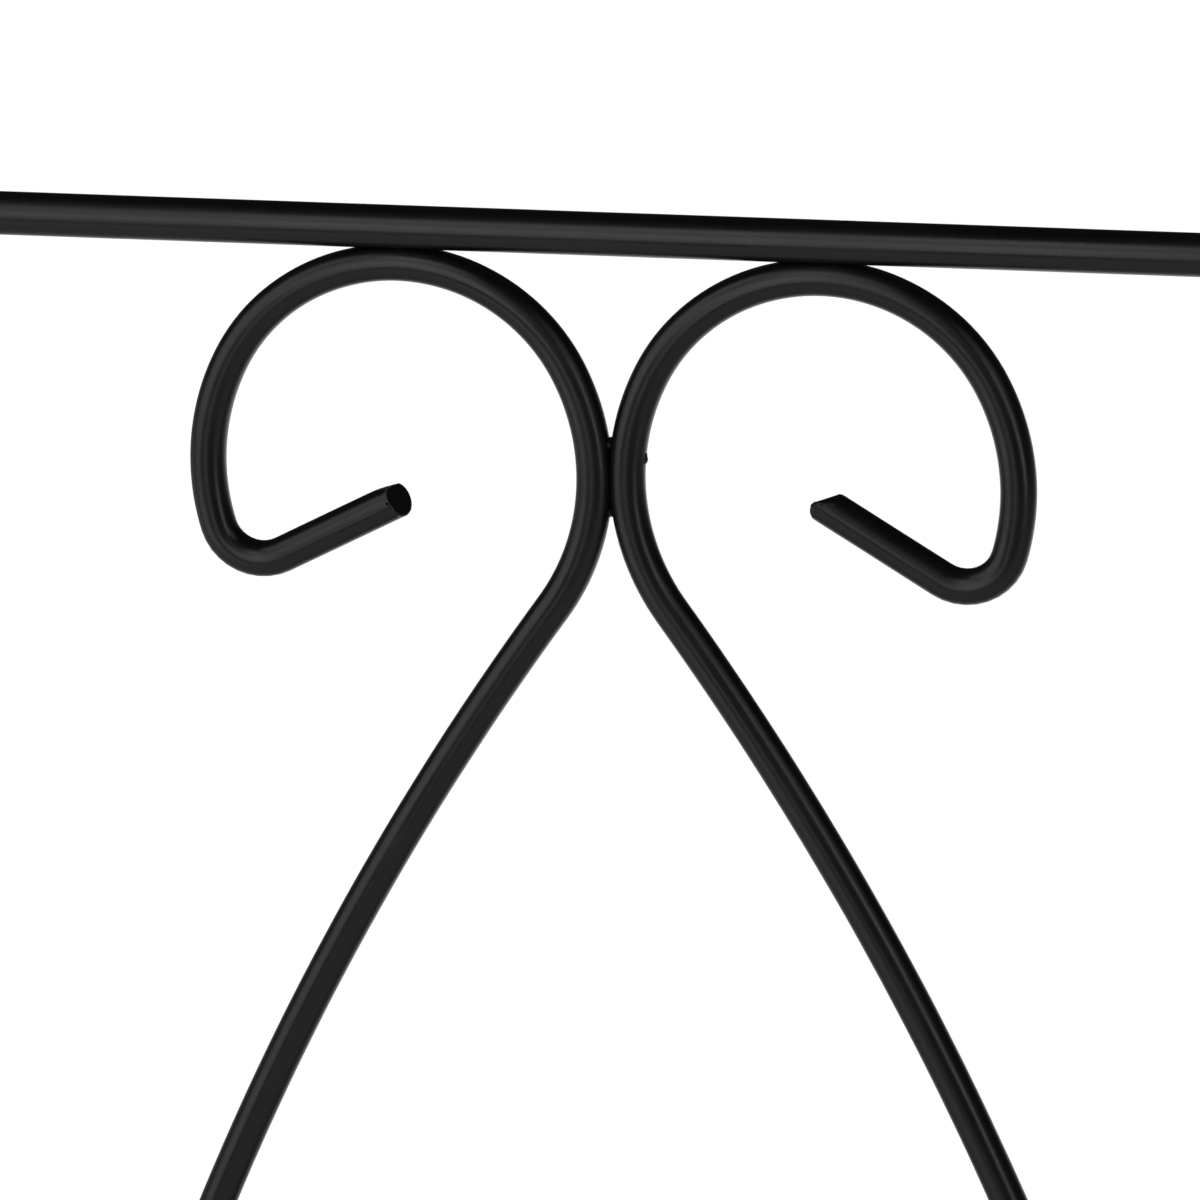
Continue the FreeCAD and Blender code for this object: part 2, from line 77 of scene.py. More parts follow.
# %% Sizes in millimetres, the same as the CAD model's
ROD_R = 3.1
WIRE_R = 2.6
SINK = 0.5
LEG_X = 125.0
TOP_Y = 335.0
CORNER = 22.0
LEDGE_Y = 45.0
HINGE_DROP = 177.0
HINGE_Y = TOP_Y - HINGE_DROP
HINGE_Z = -(ROD_R + WIRE_R - SINK)
ARM_X = 70.0
STRUT_X = 45.0
CLEARANCE, SLEEVE_WALL, SLEEVE_LENGTH = 0.08, 1.6, 14.0
SIDE_PLAY, COLLAR_WALL, COLLAR_LENGTH = 0.4, 1.6, 5.0
SLEEVE_R = WIRE_R + CLEARANCE + SLEEVE_WALL
STRUT_LEG_Z = -(SLEEVE_R + WIRE_R - SINK)
ARM_BEND, REACH, LIP_RISE = 7.0, 30.0, 17.0
HINGE_OVERHANG, LIP_OVERHANG = 3.0, 12.0
STOP_GAP, STRUT_OVERRUN, BRACE_HEIGHT = 0.3, 5.0, 55.0
ROD_START = 2.5   # each leg starts this far above the floor, inside its cap
CAP_WALL, CAP_DEPTH = 1.4, 14.0

# %% [markdown]
# ## Bending a rod
# A bender works in straight runs and bends, so the paths are written that way: go on
# for a length, then turn by an angle at a radius.  A path could also be a Bezier curve
# pulled by hand, but then no bend would have the even radius that a forming pin gives.


# %% Runs and bends become points
def bend_rod(start, heading, moves, spacing=1.2):
    """Points along a flat path.  A positive turn is to the left."""
    points = [Vector(start)]
    for move in moves:
        here = points[-1].copy()
        along = Vector((math.cos(math.radians(heading)), math.sin(math.radians(heading)), 0))
        if move[0] == "run":
            count = max(2, round(move[1] / (spacing * 4)))
            points += [here + along * (move[1] * step / count) for step in range(1, count + 1)]
        else:
            radius, turn = move[1], math.radians(move[2])
            to_centre = Vector((-along.y, along.x, 0)) * math.copysign(radius, turn)
            count = max(3, round(abs(turn) * radius / spacing))
            for step in range(1, count + 1):
                turned = Matrix.Rotation(turn * step / count, 3, "Z") @ -to_centre
                points.append(here + to_centre + turned)
            heading += move[2]
    return points


def straight(start, end, spacing=5.0):
    """Points along a straight rod."""
    start, end = Vector(start), Vector(end)
    count = max(2, round((end - start).length / spacing))
    return [start.lerp(end, step / count) for step in range(count + 1)]


# %% [markdown]
# ## Nodes in one line
# Both Geometry Nodes and materials are built from nodes with settings and links.  One
# small function adds a node of any kind, so each tree below reads from top to bottom.


# %% Add a node
def add(tree, kind, links=None, **settings):
    """A node of that kind, with its settings made and its inputs linked or set."""
    made = tree.nodes.new(kind)
    for name, value in settings.items():
        setattr(made, name, value)
    for name, value in (links or {}).items():
        if isinstance(value, bpy.types.NodeSocket):
            tree.links.new(value, made.inputs[name])
        else:
            made.inputs[name].default_value = value
    return made


def tree_inputs(name, inputs):
    """A geometry tree with a geometry input, then the named inputs."""
    tree = bpy.data.node_groups.new(name, "GeometryNodeTree")
    tree.interface.new_socket("Geometry", in_out="INPUT", socket_type="NodeSocketGeometry")
    for title, kind, value in inputs:
        socket = tree.interface.new_socket(title, in_out="INPUT", socket_type=kind)
        if value is not None:
            socket.default_value = value
    tree.interface.new_socket("Geometry", in_out="OUTPUT", socket_type="NodeSocketGeometry")
    return tree, tree.nodes.new("NodeGroupInput")


# %% [markdown]
# ## The rod tree
# A centreline becomes a rod: a circle is swept along it, and each point keeps a place of
# its own, called rod_place, measured round and along the rod.  Drawing marks in the
# finish follow that place round every bend.  A last step moves the surface in and out by
# a few hundredths of a millimetre, because bent rod is never quite round.

# %% Build the rod tree
FLOAT = "NodeSocketFloat"


def rod_tree():
    tree, given = tree_inputs("bent rod", [
        ("Radius", FLOAT, 0.0026), ("Sides", "NodeSocketInt", 40), ("Waviness", FLOAT, 0.00004),
        ("Wave size", FLOAT, 0.009), ("Seed", FLOAT, 0.0), ("Material", "NodeSocketMaterial", None)])
    given = given.outputs
    along = add(tree, "GeometryNodeSplineParameter").outputs["Length"]
    marked = add(tree, "GeometryNodeStoreNamedAttribute",
                 {"Geometry": given["Geometry"], "Name": "along", "Value": along},
                 data_type="FLOAT", domain="POINT")
    circle = add(tree, "GeometryNodeCurvePrimitiveCircle",
                 {"Resolution": given["Sides"], "Radius": given["Radius"]})
    place = add(tree, "GeometryNodeInputPosition").outputs["Position"]
    ring = add(tree, "GeometryNodeStoreNamedAttribute",
               {"Geometry": circle.outputs["Curve"], "Name": "around", "Value": place},
               data_type="FLOAT_VECTOR", domain="POINT")
    width = add(tree, "GeometryNodeInputRadius").outputs["Radius"]
    swept = add(tree, "GeometryNodeCurveToMesh",
                {"Curve": marked.outputs["Geometry"], "Profile Curve": ring.outputs["Geometry"],
                 "Scale": width, "Fill Caps": True})
    around = add(tree, "GeometryNodeInputNamedAttribute", {"Name": "around"}, data_type="FLOAT_VECTOR")
    length = add(tree, "GeometryNodeInputNamedAttribute", {"Name": "along"}, data_type="FLOAT")
    lift = add(tree, "ShaderNodeCombineXYZ", {"Z": length.outputs["Attribute"]})
    rod_place = add(tree, "ShaderNodeVectorMath",
                    {0: around.outputs["Attribute"], 1: lift.outputs["Vector"]}, operation="ADD")
    stored = add(tree, "GeometryNodeStoreNamedAttribute",
                 {"Geometry": swept.outputs["Mesh"], "Name": "rod_place",
                  "Value": rod_place.outputs["Vector"]}, data_type="FLOAT_VECTOR", domain="POINT")
    scale = add(tree, "ShaderNodeMath", {0: 1.0, 1: given["Wave size"]}, operation="DIVIDE")
    wave = add(tree, "ShaderNodeTexNoise",
               {"Vector": rod_place.outputs["Vector"], "W": given["Seed"],
                "Scale": scale.outputs["Value"], "Detail": 1.0}, noise_dimensions="4D")
    centred = add(tree, "ShaderNodeMath", {0: wave.outputs["Fac"], 1: 0.5}, operation="SUBTRACT")
    amount = add(tree, "ShaderNodeMath",
                 {0: centred.outputs["Value"], 1: given["Waviness"]}, operation="MULTIPLY")
    normal = add(tree, "GeometryNodeInputNormal").outputs["Normal"]
    push = add(tree, "ShaderNodeVectorMath",
               {0: normal, "Scale": amount.outputs["Value"]}, operation="SCALE")
    waved = add(tree, "GeometryNodeSetPosition",
                {"Geometry": stored.outputs["Geometry"], "Offset": push.outputs["Vector"]})
    smooth = add(tree, "GeometryNodeSetShadeSmooth", {"Geometry": waved.outputs["Geometry"]})
    real = add(tree, "GeometryNodeRealizeInstances", {"Geometry": smooth.outputs["Geometry"]})
    coated = add(tree, "GeometryNodeSetMaterial",
                 {"Geometry": real.outputs["Geometry"], "Material": given["Material"]})
    add(tree, "NodeGroupOutput", {"Geometry": coated.outputs["Geometry"]})
    return tree


ROD_TREE = rod_tree()
print("rod tree has", len(ROD_TREE.nodes), "nodes")

# %% [markdown]
# ## From tree to plain mesh
# The tree is only a way to make the shape.  Each piece is turned into a plain mesh with
# its place in its points, so its object sits at the origin, unturned and unscaled.


# %% Make a curve, run a tree, keep the mesh
def curve_object(name, splines):
    """Open or closed poly splines.  Each is (points in metres, widths, closed)."""
    curve = bpy.data.curves.new(name, "CURVE")
    curve.dimensions = "3D"
    for points, widths, closed in splines:
        spline = curve.splines.new("POLY")
        spline.points.add(len(points) - 1)
        for target, point, width in zip(spline.points, points, widths):
            target.co = (*point, 1.0)
            target.radius = width
        spline.use_cyclic_u = closed
    made = bpy.data.objects.new(name, curve)
    bpy.context.scene.collection.objects.link(made)
    return made


def run_tree(name, splines, tree, values):
    """A new plain mesh object made by the tree from the splines."""
    source = curve_object(name + "_path", splines)
    modifier = source.modifiers.new("shape", "NODES")
    modifier.node_group = tree
    for item in tree.interface.items_tree:
        if item.in_out == "INPUT" and item.name in values:
            modifier[item.identifier] = values[item.name]
    depsgraph = bpy.context.evaluated_depsgraph_get()
    mesh = bpy.data.meshes.new_from_object(source.evaluated_get(depsgraph), depsgraph=depsgraph)
    mesh.name = name
    bpy.data.objects.remove(source)
    made = bpy.data.objects.new(name, mesh)
    bpy.context.scene.collection.objects.link(made)
    return made


def keep(piece, body, slot, *nodes):
    """The piece moves with a body and stands for its CAD nodes."""
    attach(piece, body)
    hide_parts(*nodes)


# %% [markdown]
# ## Coated steel
# Powder coat on steel rod: dry paint powder melted on in an oven.  It flows into a
# satin skin with a very fine orange peel, and a few specks of unmelted powder stand
# proud.  Under it the drawn rod's long marks still show faintly.  A powder coat is a
# plastic, so its IOR is 1.5 and its metallic is 0.


# %% Colours, and the coat's material
def linear(hexed):
    """An sRGB hex colour as linear RGBA."""
    parts = [int(hexed[start:start + 2], 16) / 255 for start in (1, 3, 5)]
    return (*[part / 12.92 if part <= 0.04045 else ((part + 0.055) / 1.055) ** 2.4
              for part in parts], 1.0)


def new_material(name):
    material = bpy.data.materials.new(name)
    material.use_nodes = True
    tree = material.node_tree
    tree.nodes.clear()
    return material, tree


def per_metre(size_mm):
    """A texture scale that gives features of that size."""
    return 1000.0 / size_mm


def powder_coat(name, peel_height, mark_height, on_rod=True):
    material, tree = new_material(name)
    spot = add(tree, "ShaderNodeTexCoord").outputs["Object"]
    peel = add(tree, "ShaderNodeTexNoise",
               {"Vector": spot, "Scale": per_metre(1.1), "Detail": 3.0, "Roughness": 0.45})
    cloud = add(tree, "ShaderNodeTexNoise",
                {"Vector": spot, "Scale": per_metre(14.0), "Detail": 4.0, "Roughness": 0.6})
    specks = add(tree, "ShaderNodeTexVoronoi", {"Vector": spot, "Scale": per_metre(2.6)})
    speck = add(tree, "ShaderNodeMapRange",
                {"Value": specks.outputs["Distance"], "From Min": 0.05, "From Max": 0.13,
                 "To Min": 1.0, "To Max": 0.0}, clamp=True)
    lucky = add(tree, "ShaderNodeSeparateColor", {"Color": specks.outputs["Color"]})
    rare = add(tree, "ShaderNodeMath", {0: lucky.outputs["Red"], 1: 0.86}, operation="GREATER_THAN")
    nibs = add(tree, "ShaderNodeMath",
               {0: speck.outputs["Result"], 1: rare.outputs["Value"]}, operation="MULTIPLY")
    height = add(tree, "ShaderNodeMath",
                 {0: nibs.outputs["Value"], 1: 2.2, 2: peel.outputs["Fac"]}, operation="MULTIPLY_ADD")
    if on_rod:
        place = add(tree, "ShaderNodeAttribute", attribute_name="rod_place")
        drawn = add(tree, "ShaderNodeMapping",
                    {"Vector": place.outputs["Vector"], "Scale": (1.0, 1.0, 0.02)})
        marks = add(tree, "ShaderNodeTexNoise",
                    {"Vector": drawn.outputs["Vector"], "Scale": per_metre(0.5), "Detail": 2.0})
        height = add(tree, "ShaderNodeMath",
                     {0: marks.outputs["Fac"], 1: mark_height / peel_height,
                      2: height.outputs["Value"]}, operation="MULTIPLY_ADD")
    bump = add(tree, "ShaderNodeBump",
               {"Strength": 1.0, "Distance": peel_height * MM, "Height": height.outputs["Value"]})
    gloss = add(tree, "ShaderNodeMapRange",
                {"Value": cloud.outputs["Fac"], "From Min": 0.3, "From Max": 0.7,
                 "To Min": 0.26, "To Max": 0.34})
    tint = add(tree, "ShaderNodeMix",
               {"Factor": cloud.outputs["Fac"], "A": linear("#0c0c0d"), "B": linear("#111112")},
               data_type="RGBA")
    shader = add(tree, "ShaderNodeBsdfPrincipled",
                 {"Base Color": tint.outputs["Result"], "Roughness": gloss.outputs["Result"],
                  "IOR": 1.5, "Metallic": 0.0, "Normal": bump.outputs["Normal"]})
    add(tree, "ShaderNodeOutputMaterial", {"Surface": shader.outputs["BSDF"]})
    return material


COAT = powder_coat("powder coat on drawn steel rod", 0.006, 0.004)
WELD_COAT = powder_coat("powder coat on weld bead", 0.010, 0.0, on_rod=False)
TUBE_COAT = powder_coat("powder coat on turned steel tube", 0.006, 0.0, on_rod=False)
print("materials", [material.name for material in bpy.data.materials])

# %% [markdown]
# ## Cut ends
# Rod is cropped, not sawn, so the shear pulls its rim round and the coat rounds it
# further: the rod's last half millimetre narrows in a quarter circle.  The scrolls were
# cropped by hand after bending, which leaves slanted faces.  A plane cuts the swept mesh
# there, and a small bevel gives the new rim its coat.  The cutter's jaw also pressed one
# side of the left tip a little flat, so the surface there is pushed back to a plane.

# %% Round the rim, crop the tip
RIM = 0.55
SPARE = 3.0      # the tail is swept this much too long, then cropped
FINE_STEPS = 7   # the tail's last millimetres get a point each, so its tip can be shaped
# Each face: how far it lies from the tail's true end along the tail, how far across it,
# and the way it looks, as (along the tail, across it and up, out of the front).
PRESSED = {"left": [(-3.9, 2.6, (0.26, 0.97, 0.0))], "right": []}
CROPS = {"left": [(-1.4, 0.0, (1.0, 0.04, 0.33))],
         "right": [(-1.8, 0.0, (1.0, 0.0, -0.92)), (2.1, 0.0, (0.51, 0.86, 0.25))]}


def with_rims(points, radius):
    """The same path with close points at both ends, and a width for each point."""
    steps = [0.0, 0.05, 0.17, 0.33, RIM]
    first, last = points[0], points[-1]
    out_of_first = (points[1] - first).normalized()
    out_of_last = (points[-2] - last).normalized()
    inner = [point for point in points[1:-1]
             if (point - first).length > 2 * RIM and (point - last).length > 2 * RIM]
    path = [first + out_of_first * step for step in steps] + inner
    path += [last + out_of_last * step for step in reversed(steps)]
    rim = [1 - (RIM / radius) * (1 - math.sqrt(1 - (1 - step / RIM) ** 2)) for step in steps]
    return path, rim + [1.0] * len(inner) + rim[::-1]


def press(piece, point, face, reach=14.0, softness=0.15):
    """Push what stands beyond a slanted face back on to it, with a soft edge."""
    face = face.normalized()
    for vertex in piece.data.vertices:
        if (vertex.co - point).length < reach * MM:
            beyond = (vertex.co - point).dot(face) / MM
            vertex.co -= face * (beyond + math.sqrt(beyond ** 2 + softness ** 2)) / 2 * MM


def crop(piece, point, face, reach=12.0, round_off=0.25):
    """Cut off what lies beyond a slanted face, close the cut and round its rim."""
    shape = bmesh.new()
    shape.from_mesh(piece.data)
    near = [vertex for vertex in shape.verts if (vertex.co - point).length < reach * MM]
    touched = {edge for vertex in near for edge in vertex.link_edges}
    touched |= {polygon for vertex in near for polygon in vertex.link_faces}
    cut = bmesh.ops.bisect_plane(shape, geom=near + list(touched), plane_co=point,
                                 plane_no=face.normalized(), clear_outer=True)
    rim = [item for item in cut["geom_cut"] if isinstance(item, bmesh.types.BMEdge)]
    flat = bmesh.ops.holes_fill(shape, edges=rim, sides=0)["faces"]
    for new in flat:
        new.smooth = False
    around = {edge for new in flat for edge in new.edges}
    bmesh.ops.bevel(shape, geom=list(around), offset=round_off * MM, segments=3, profile=0.5,
                    affect="EDGES")
    shape.to_mesh(piece.data)
    shape.free()


# %% Make a rod
def rod(name, body, matrix, points, radius, nodes=None, seed=0.0):
    """A coated rod along points given in millimetres in a leaning frame."""
    path, widths = with_rims(points, radius)
    placed = [matrix @ (point * MM) for point in path]
    piece = run_tree(name, [(placed, widths, False)], ROD_TREE,
                     {"Radius": radius * MM, "Seed": seed, "Material": COAT})
    keep(piece, body, "coated_steel", *(nodes or [name.replace("_rod", "")]))
    print(name, len(piece.data.polygons), "faces")
    return piece


# %% [markdown]
# ## The hooped frame
# Two legs and the top bar are one rod with two bends.

# %% The hoop
hoop_rise = TOP_Y - CORNER - ROD_START
hoop_path = bend_rod((-LEG_X, ROD_START, 0), 90, [
    ("run", hoop_rise), ("bend", CORNER, -90), ("run", 2 * (LEG_X - CORNER)),
    ("bend", CORNER, -90), ("run", hoop_rise)])
hoop = rod("frame_hoop_rod", "front_frame", FRONT, hoop_path, ROD_R, seed=1.0)

# %% [markdown]
# ## The scrolls
# Each scroll is a loop of three arcs with a tight curl into a straight tail.  Its other
# end runs on into a long stem.  Each arc starts where the last one ended and on its
# heading, so one runs into the other without a kink.

# %% The scroll's path
CROWN_R, CROWN_TURN, FLANK_R, FLANK_DROP = 27.2, 63.0, 33.8, 16.0
CURL_R, CURL_TURNS, TAIL = 6.5, {"left": 101.5, "right": 105.5}, 20.7
SPLAY, STEM_R = 35.3, 468.0


def sine(degrees):
    return math.sin(math.radians(degrees))


def cosine(degrees):
    return math.cos(math.radians(degrees))


LOOP_HALF = FLANK_R - (FLANK_R - CROWN_R) * sine(CROWN_TURN)
LOOP_RISE = CROWN_R + (FLANK_R - CROWN_R) * cosine(CROWN_TURN)
CROWN = Vector((LOOP_HALF + WIRE_R - SINK / 2, TOP_Y - ROD_R - WIRE_R + SINK, 0))
WIDEST_Y = CROWN.y - LOOP_RISE
SPLAY_X = WIRE_R - SINK / 2 + FLANK_R * (1 - cosine(SPLAY))
SPLAY_Y = WIDEST_Y - FLANK_R * sine(SPLAY)
STEM_END = LEDGE_Y + 2 * WIRE_R - SINK


def stem_angle(height):
    return math.degrees(math.asin(sine(SPLAY) - (SPLAY_Y - height) / STEM_R))


def stem_x(height):
    return SPLAY_X + STEM_R * (cosine(stem_angle(height)) - cosine(SPLAY))


def scroll_path(side):
    """One wire from the lower end of its stem, over the crown, to the tail."""
    inward = bend_rod(CROWN, 180, [
        ("bend", CROWN_R, CROWN_TURN), ("bend", FLANK_R, 90 - CROWN_TURN + SPLAY),
        ("bend", STEM_R, stem_angle(STEM_END) - SPLAY)])
    outward = bend_rod(CROWN, 0, [
        ("bend", CROWN_R, -CROWN_TURN), ("bend", FLANK_R, -(90 - CROWN_TURN + FLANK_DROP)),
        ("bend", CURL_R, -CURL_TURNS[side]), ("run", TAIL - FINE_STEPS),
        *[("run", 1)] * (FINE_STEPS + round(SPARE))])
    hand = -1 if side == "left" else 1
    return [Vector((hand * point.x, point.y, 0)) for point in inward[::-1] + outward[1:]]


print("a loop is", round(2 * LOOP_HALF, 1), "mm wide")

# %% Both scrolls, with their cropped tips
for number, side in enumerate(("left", "right")):
    path = scroll_path(side)
    piece = rod(f"{side}_scroll_rod", "front_frame", FRONT, path, WIRE_R, seed=2.0 + number)
    along = (path[-1] - path[-2]).normalized()
    across = Vector((-abs(along.y) * math.copysign(1, along.x), abs(along.x), 0))
    for shape, faces in ((press, PRESSED[side]), (crop, CROPS[side])):
        for ahead, aside, (onward, upward, outward) in faces:
            point = path[-1] + along * (ahead - SPARE) + across * aside
            face = along * onward + across * upward + Vector((0, 0, outward))
            shape(piece, FRONT @ (point * MM), FRONT.to_3x3() @ face)

# %% [markdown]
# ## Crossbars, arms and rail
# These are straight rods, and two J-shaped arms that carry the picture's lower edge.

# %% Straight rods of the front frame
STOP_AHEAD = STRUT_LEG_Z + 2 * WIRE_R + STOP_GAP
OPEN_SIN, OPEN_COS = sine(OPENING), cosine(OPENING)
STOP_ALONG = (-HINGE_Z - STOP_AHEAD * OPEN_COS) / OPEN_SIN
STOP_Y = HINGE_Y + STOP_ALONG * OPEN_COS - STOP_AHEAD * OPEN_SIN
ARM_Y = LEDGE_Y - WIRE_R + SINK
bars = {
    "ledge_bar": (LEG_X - ROD_R + SINK, LEDGE_Y + WIRE_R, 0),
    "hinge_bar": (LEG_X + ROD_R + HINGE_OVERHANG, HINGE_Y, HINGE_Z),
    "stop_bar": (stem_x(STOP_Y) - WIRE_R + SINK, STOP_Y, 0),
    "lip_rail": (ARM_X + LIP_OVERHANG, ARM_Y + LIP_RISE - WIRE_R, REACH)}
for number, (name, (half, height, out)) in enumerate(bars.items()):
    rod(f"{name}_rod", "front_frame", FRONT,
        straight((-half, height, out), (half, height, out)), WIRE_R, seed=5.0 + number)

# %% The two arms
for number, (side, hand) in enumerate((("left", -1), ("right", 1))):
    flat = bend_rod((-WIRE_R, 0, 0), 0, [
        ("run", REACH - ARM_BEND + WIRE_R), ("bend", ARM_BEND, 90),
        ("run", LIP_RISE - ARM_BEND - 2 * WIRE_R + SINK)], spacing=0.8)
    path = [Vector((hand * ARM_X, ARM_Y + point.y, point.x)) for point in flat]
    rod(f"{side}_ledge_arm_rod", "front_frame", FRONT, path, WIRE_R, seed=10.0 + number)

# %% [markdown]
# ## The strut
# Two rods with a brace between them.  Their upper ends pass the hinge and lean on the
# stop bar when the strut is open.

# %% Strut rods
STRUT_LEAN = math.radians(OPENING - LEAN)
STRUT_DROP = (hinge.z / MM - STRUT_LEG_Z * math.sin(STRUT_LEAN)) / math.cos(STRUT_LEAN)
for number, (side, hand) in enumerate((("left", -1), ("right", 1))):
    rod(f"{side}_strut_leg_rod", "rear_strut", STRUT,
        straight((hand * STRUT_X, ROD_START - STRUT_DROP, STRUT_LEG_Z),
                 (hand * STRUT_X, STOP_ALONG + STRUT_OVERRUN, STRUT_LEG_Z)), WIRE_R, seed=12.0 + number)
BRACE_Y = BRACE_HEIGHT - STRUT_DROP
brace_half = STRUT_X - WIRE_R + SINK
rod("strut_brace_rod", "rear_strut", STRUT,
    straight((-brace_half, BRACE_Y, STRUT_LEG_Z), (brace_half, BRACE_Y, STRUT_LEG_Z)),
    WIRE_R, seed=14.0)

# %% [markdown]
# ## Turned pieces
# Sleeves, collars and foot caps are round about an axis.  A half section is turned
# about it, with every edge already rounded in the section.


# %% Turn a half section
def rounded(corners, radius, steps=4):
    """A closed outline with each corner (x, y) turned into a short round."""
    outline = []
    for index, corner in enumerate(corners):
        here = Vector(corner)
        before, after = Vector(corners[index - 1]), Vector(corners[(index + 1) % len(corners)])
        cut = min(radius, (before - here).length * 0.45, (after - here).length * 0.45)
        start = here + (before - here).normalized() * cut
        end = here + (after - here).normalized() * cut
        for step in range(steps + 1):
            part = step / steps
            outline.append(start.lerp(here, part).lerp(here.lerp(end, part), part))
    return outline


def turned(name, outline, matrix, material, sides=48):
    """A ring of that outline, (distance from the axis, height), about the matrix's z."""
    mesh = bpy.data.meshes.new(name)
    shape = bmesh.new()
    rings = []
    for side in range(sides):
        angle = 2 * math.pi * side / sides
        rings.append([shape.verts.new(matrix @ (Vector((
            point.x * math.cos(angle), point.x * math.sin(angle), point.y)) * MM))
            for point in outline])
    for side in range(sides):
        one, two = rings[side], rings[(side + 1) % sides]
        for index in range(len(outline)):
            following = (index + 1) % len(outline)
            shape.faces.new((one[index], two[index], two[following], one[following]))
    bmesh.ops.remove_doubles(shape, verts=shape.verts, dist=1e-6)
    bmesh.ops.dissolve_degenerate(shape, edges=shape.edges, dist=1e-7)
    bmesh.ops.recalc_face_normals(shape, faces=shape.faces)
    shape.to_mesh(mesh)
    shape.free()
    mesh.shade_smooth()
    mesh.materials.append(material)
    made = bpy.data.objects.new(name, mesh)
    bpy.context.scene.collection.objects.link(made)
    return made


# %% Sleeves and collars on the hinge bar
LYING = Matrix.Rotation(math.radians(90), 4, "Y")
RING_EDGE = 0.35


def ring_outline(bore, wall, length):
    corners = [(bore, 0), (bore + wall, 0), (bore + wall, length), (bore, length)]
    return rounded(corners, RING_EDGE)


def placed(matrix, x, y, z):
    return matrix @ Matrix.Translation(Vector((x, y, z)) * MM)


sleeve_section = ring_outline(WIRE_R + CLEARANCE, SLEEVE_WALL, SLEEVE_LENGTH)
collar_section = ring_outline(WIRE_R, COLLAR_WALL, COLLAR_LENGTH)
for side, hand in (("left", -1), ("right", 1)):
    sleeve = turned(f"{side}_hinge_sleeve_tube", sleeve_section,
                    placed(STRUT, hand * STRUT_X - SLEEVE_LENGTH / 2, 0, 0) @ LYING, TUBE_COAT)
    keep(sleeve, "rear_strut", "coated_steel", f"{side}_hinge_sleeve")
    inner = hand * (STRUT_X + SLEEVE_LENGTH / 2 + SIDE_PLAY)
    left_end = min(inner, inner + hand * COLLAR_LENGTH)
    collar = turned(f"{side}_hinge_collar_ring", collar_section,
                    placed(FRONT, left_end, HINGE_Y, HINGE_Z) @ LYING, TUBE_COAT)
    keep(collar, "front_frame", "coated_steel", f"{side}_hinge_collar")

# %% [markdown]
# ## Foot caps
# Vinyl caps, dipped while hot on a pin and slid on the rods.  Dipping leaves a matt
# skin, a rounded rim and a little more vinyl at the nose.


# %% The vinyl
def dipped_vinyl():
    material, tree = new_material("vinyl, dipped")
    spot = add(tree, "ShaderNodeTexCoord").outputs["Object"]
    skin = add(tree, "ShaderNodeTexNoise",
               {"Vector": spot, "Scale": per_metre(0.7), "Detail": 4.0, "Roughness": 0.6})
    scuff = add(tree, "ShaderNodeTexNoise",
                {"Vector": spot, "Scale": per_metre(6.0), "Detail": 5.0, "Roughness": 0.7})
    bump = add(tree, "ShaderNodeBump",
               {"Strength": 1.0, "Distance": 0.02 * MM, "Height": skin.outputs["Fac"]})
    rough = add(tree, "ShaderNodeMapRange",
                {"Value": scuff.outputs["Fac"], "From Min": 0.3, "From Max": 0.7,
                 "To Min": 0.5, "To Max": 0.72})
    tint = add(tree, "ShaderNodeMix",
               {"Factor": scuff.outputs["Fac"], "A": linear("#131313"), "B": linear("#1c1c1b")},
               data_type="RGBA")
    shader = add(tree, "ShaderNodeBsdfPrincipled",
                 {"Base Color": tint.outputs["Result"], "Roughness": rough.outputs["Result"],
                  "IOR": 1.53, "Metallic": 0.0, "Normal": bump.outputs["Normal"]})
    add(tree, "ShaderNodeOutputMaterial", {"Surface": shader.outputs["BSDF"]})
    return material


VINYL = dipped_vinyl()


# %% The caps
ON_AXIS = 0.001
BULGE, TAPER, CAP_EDGE = 0.05, 0.15, 0.6


def foot_cap(name, node, body, matrix, bore, lean):
    """A cap turned on its leg's axis, its nose cut level by the floor."""
    outer = bore + CAP_WALL
    below = -(outer * math.tan(lean) + CAP_WALL)
    mouth = ROD_START + CAP_DEPTH
    outline = rounded([
        (ON_AXIS, below), (outer, below), (outer + BULGE, ROD_START), (outer - TAPER, mouth),
        (bore, mouth), (bore, ROD_START), (ON_AXIS, ROD_START)], CAP_EDGE)
    cap = turned(name, outline, matrix @ Matrix.Rotation(math.radians(-90), 4, "X"), VINYL)
    for vertex in cap.data.vertices:
        vertex.co.z = max(vertex.co.z, 0.0)
    keep(cap, body, "foot_vinyl", node)


for side, hand in (("left", -1), ("right", 1)):
    foot_cap(f"{side}_front_cap", f"{side}_front_foot", "front_frame",
             placed(FRONT, hand * LEG_X, 0, 0), ROD_R, math.radians(LEAN))
    foot_cap(f"{side}_rear_cap", f"{side}_rear_foot", "rear_strut",
             placed(STRUT, hand * STRUT_X, -STRUT_DROP, STRUT_LEG_Z), WIRE_R, STRUT_LEAN)

# %% [markdown]
# ## Weld beads
# A bead is a string of small puddles that froze one on another.  Where a rod butts on
# another, the bead follows the line where the two surfaces meet, a saddle shape.  Where
# two rods touch side by side, it fills the notch between them.


